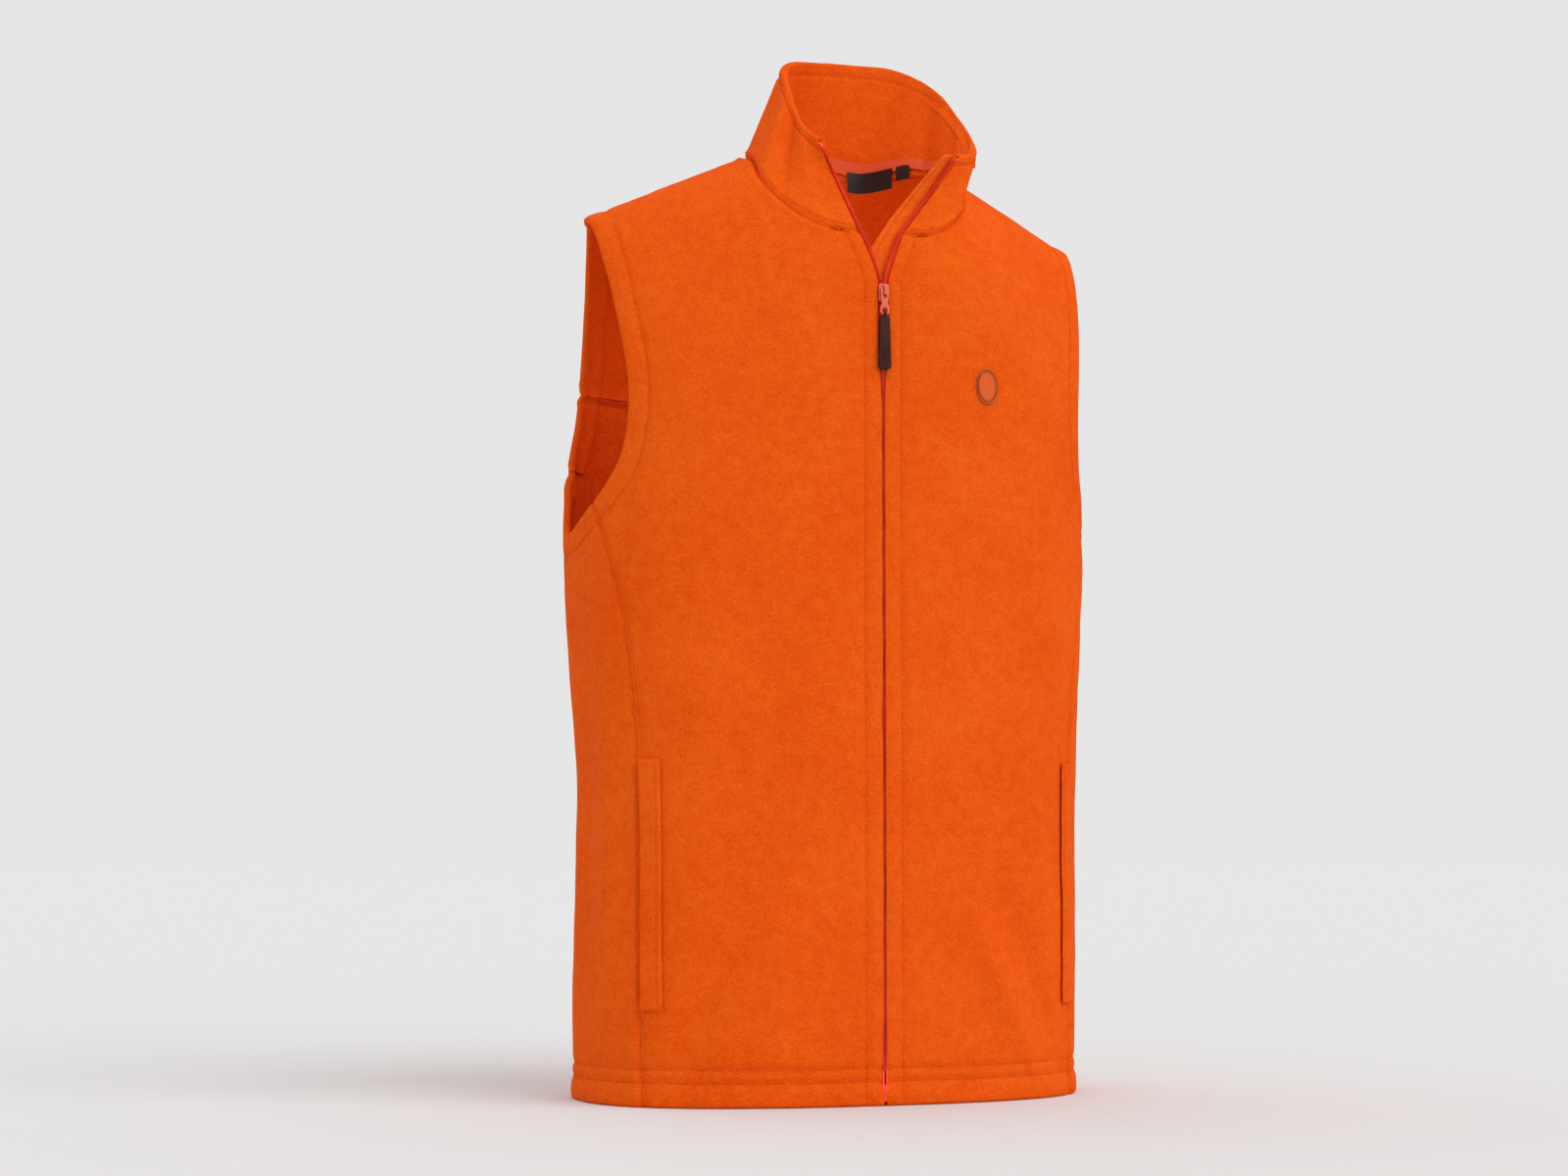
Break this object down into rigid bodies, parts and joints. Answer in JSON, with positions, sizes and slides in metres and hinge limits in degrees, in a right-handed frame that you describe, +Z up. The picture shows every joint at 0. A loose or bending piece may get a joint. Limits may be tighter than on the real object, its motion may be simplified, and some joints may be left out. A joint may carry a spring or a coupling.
{
  "type": "fleece vest",
  "caption": "Sleeveless blaze orange fleece vest with a stand collar, a full-length zip open at the neck, side pockets and a moulded zip pull.",
  "frame": {"origin": "under the middle of the vest, at the level of the hem that it stands on", "axes": "+Z up along the body, +X to the wearer's left, -Y to the front"},
  "size_m": [0.404, 0.225, 0.796],
  "materials": {
    "fleece": "brushed polyester fleece, blaze orange",
    "pocket_knit": "thin knitted polyester pocketing",
    "twill_tape": "woven polyester twill tape",
    "satin_label": "woven satin label, black",
    "embroidery": "rayon embroidery thread",
    "zip_tape": "woven polyester zip tape",
    "zip_nylon": "dyed nylon monofilament and moulded nylon",
    "slider_enamel": "zinc die casting, stoved enamel",
    "moulded_tab": "soft moulded plastic, dark brown"
  },
  "bodies": {
    "vest": {"left_front_panel": "fleece", "right_front_panel": "fleece", "left_side_panel": "fleece", "right_side_panel": "fleece", "back_panel": "fleece", "back_yoke": "fleece", "collar_outer": "fleece", "collar_lining": "fleece", "wind_flap": "fleece", "neck_tape": "twill_tape", "neck_label": "satin_label", "size_tab": "satin_label", "left_pocket_welt": "fleece", "right_pocket_welt": "fleece", "left_pocket_bag": "pocket_knit", "right_pocket_bag": "pocket_knit", "chest_badge": "embroidery", "left_zip_tape": "zip_tape", "right_zip_tape": "zip_tape", "left_zip_coil": "zip_nylon", "right_zip_coil": "zip_nylon", "left_top_stop": "zip_nylon", "right_top_stop": "zip_nylon", "retainer_box": "zip_nylon", "insertion_pin": "zip_nylon"},
    "slider": {"slider_body": "slider_enamel"},
    "puller": {"slider_puller": "slider_enamel"},
    "tab": {"pull_tab": "moulded_tab"}
  },
  "joints": [
    {"name": "zip_slider_travel", "type": "slide", "parent": "vest", "child": "slider", "axis": [0, 0, 1], "range_m": [-0.565, 0]},
    {"name": "puller_swing", "type": "hinge", "parent": "slider", "child": "puller", "pos_m": [0, -0.1103, 0.5906], "axis": [-1, 0, 0], "range_deg": [0, 150]},
    {"name": "pull_tab_swing", "type": "hinge", "parent": "puller", "child": "tab", "pos_m": [0, -0.1103, 0.57145], "axis": [-1, 0, 0], "range_deg": [0, 30]}
  ]
}
